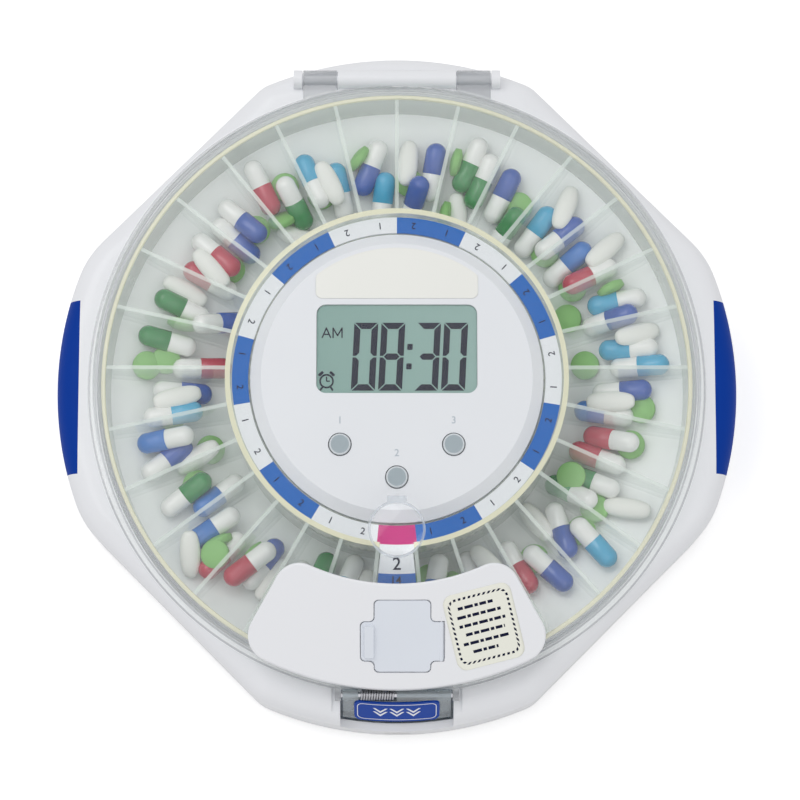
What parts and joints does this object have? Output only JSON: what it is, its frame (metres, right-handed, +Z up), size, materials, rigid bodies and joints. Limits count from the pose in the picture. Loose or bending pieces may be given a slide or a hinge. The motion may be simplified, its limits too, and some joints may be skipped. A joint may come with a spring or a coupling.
{
  "type": "automatic pill dispenser",
  "caption": "Round pill dispenser: a motor-turned tray of wedge-shaped places under a clear hinged lid, with a display and buttons on its fixed hub and an outlet flap.",
  "frame": {"origin": "on the surface that the feet stand on, under the axis of the tray", "axes": "+Z up along the tray's axis, latch and outlet at the front (-Y), hinge at the back (+Y), +X to the right seen from the front"},
  "size_m": [0.2178, 0.2178, 0.061],
  "materials": {
    "shell": "white moulded plastic with a light sheen",
    "grip": "blue soft-touch moulding",
    "deck_white": "white moulded plastic, fine texture",
    "clear_lid": "clear moulded plastic, polished",
    "clear_lens": "clear polished lens",
    "outlet_cover": "white moulded plastic",
    "tray": "translucent pale moulded plastic",
    "ring_print": "white plastic, printed blue, white and magenta",
    "gear": "natural acetal",
    "hub": "white moulded plastic with a light sheen",
    "fascia": "pale satin plate",
    "screen": "grey-green liquid crystal glass",
    "screen_lens": "clear window",
    "board": "green circuit board",
    "dark_plastic": "black moulded plastic",
    "button_cap": "grey moulded plastic",
    "motor_metal": "plated steel",
    "steel": "bright steel",
    "cell": "shrink-wrapped steel cans",
    "label": "blue printed label with a clear coat",
    "foot_rubber": "dark rubber"
  },
  "bodies": {
    "base": {"base_shell": "shell", "grip_strip_left": "grip", "grip_strip_right": "grip", "well_pan": "deck_white", "glide_ring": "gear", "bottom_cover": "deck_white", "battery_door": "deck_white", "battery_cells": "cell", "battery_contacts": "steel", "hub_housing": "hub", "hub_cap": "hub", "fascia_plate": "fascia", "lcd_module": "screen", "display_lens": "screen_lens", "main_board": "board", "tact_switches": "dark_plastic", "buzzer": "dark_plastic", "home_switch": "dark_plastic", "motor_plate": "deck_white", "gear_motor": "motor_metal", "power_jack": "dark_plastic", "hinge_pins": "steel", "feet": "foot_rubber", "pan_screws": "steel", "cover_screws": "steel", "board_screws": "steel", "motor_screws": "steel", "door_screw": "steel"},
    "lid": {"lid": "clear_lid", "dose_lens": "clear_lens", "hopper_cover": "outlet_cover", "dispensing_chute": "clear_lid", "flap_pin": "steel", "latch_pin": "steel", "latch_spring": "steel"},
    "latch": {"latch_lever": "clear_lid", "press_label": "label"},
    "flap": {"dispensing_flap": "outlet_cover"},
    "carousel": {"tray_floor": "tray", "tray_outer_wall": "tray", "tray_inner_wall": "tray", "tray_dividers": "tray", "dosage_ring": "ring_print", "tray_ring_gear": "gear"},
    "pinion": {"drive_pinion": "gear", "pinion_shaft": "steel"},
    "left_button": {"button_left": "button_cap"},
    "front_button": {"button_front": "button_cap"},
    "right_button": {"button_right": "button_cap"},
    "lock": {"lock_cylinder": "steel"}
  },
  "joints": [
    {"name": "lid_hinge", "type": "hinge", "parent": "base", "child": "lid", "pos_m": [0, 0.1005, 0.0365], "axis": [-1, 0, 0], "range_deg": [0, 95]},
    {"name": "latch_press", "type": "hinge", "parent": "lid", "child": "latch", "pos_m": [0, -0.0982, 0.0384], "axis": [1, 0, 0], "range_deg": [0, 6], "stiffness_Nm_per_rad": 0.05, "springref_deg": -11.46},
    {"name": "flap_hinge", "type": "hinge", "parent": "lid", "child": "flap", "pos_m": [0.0137, -0.08259, 0.05292], "axis": [0, 0.9297, 0.3683], "range_deg": [0, 100]},
    {"name": "carousel_turn", "type": "hinge", "parent": "base", "child": "carousel", "pos_m": [0, 0, 0], "axis": [0, 0, 1], "continuous": true},
    {"name": "pinion_turn", "type": "hinge", "parent": "base", "child": "pinion", "pos_m": [0, 0.03685, 0], "axis": [0, 0, 1], "continuous": true},
    {"name": "left_button_press", "type": "slide", "parent": "base", "child": "left_button", "axis": [0, 0, -1], "range_m": [0, 0.0008], "stiffness_N_per_m": 300, "springref_m": -0.0005},
    {"name": "front_button_press", "type": "slide", "parent": "base", "child": "front_button", "axis": [0, 0, -1], "range_m": [0, 0.0008], "stiffness_N_per_m": 300, "springref_m": -0.0005},
    {"name": "right_button_press", "type": "slide", "parent": "base", "child": "right_button", "axis": [0, 0, -1], "range_m": [0, 0.0008], "stiffness_N_per_m": 300, "springref_m": -0.0005},
    {"name": "lock_turn", "type": "hinge", "parent": "base", "child": "lock", "pos_m": [0, -0.1, 0.0104], "axis": [0, -1, 0], "range_deg": [0, 90]}
  ],
  "couplings": [
    {"joint": "pinion_turn", "follows": "carousel_turn", "ratio": 4.35}
  ]
}
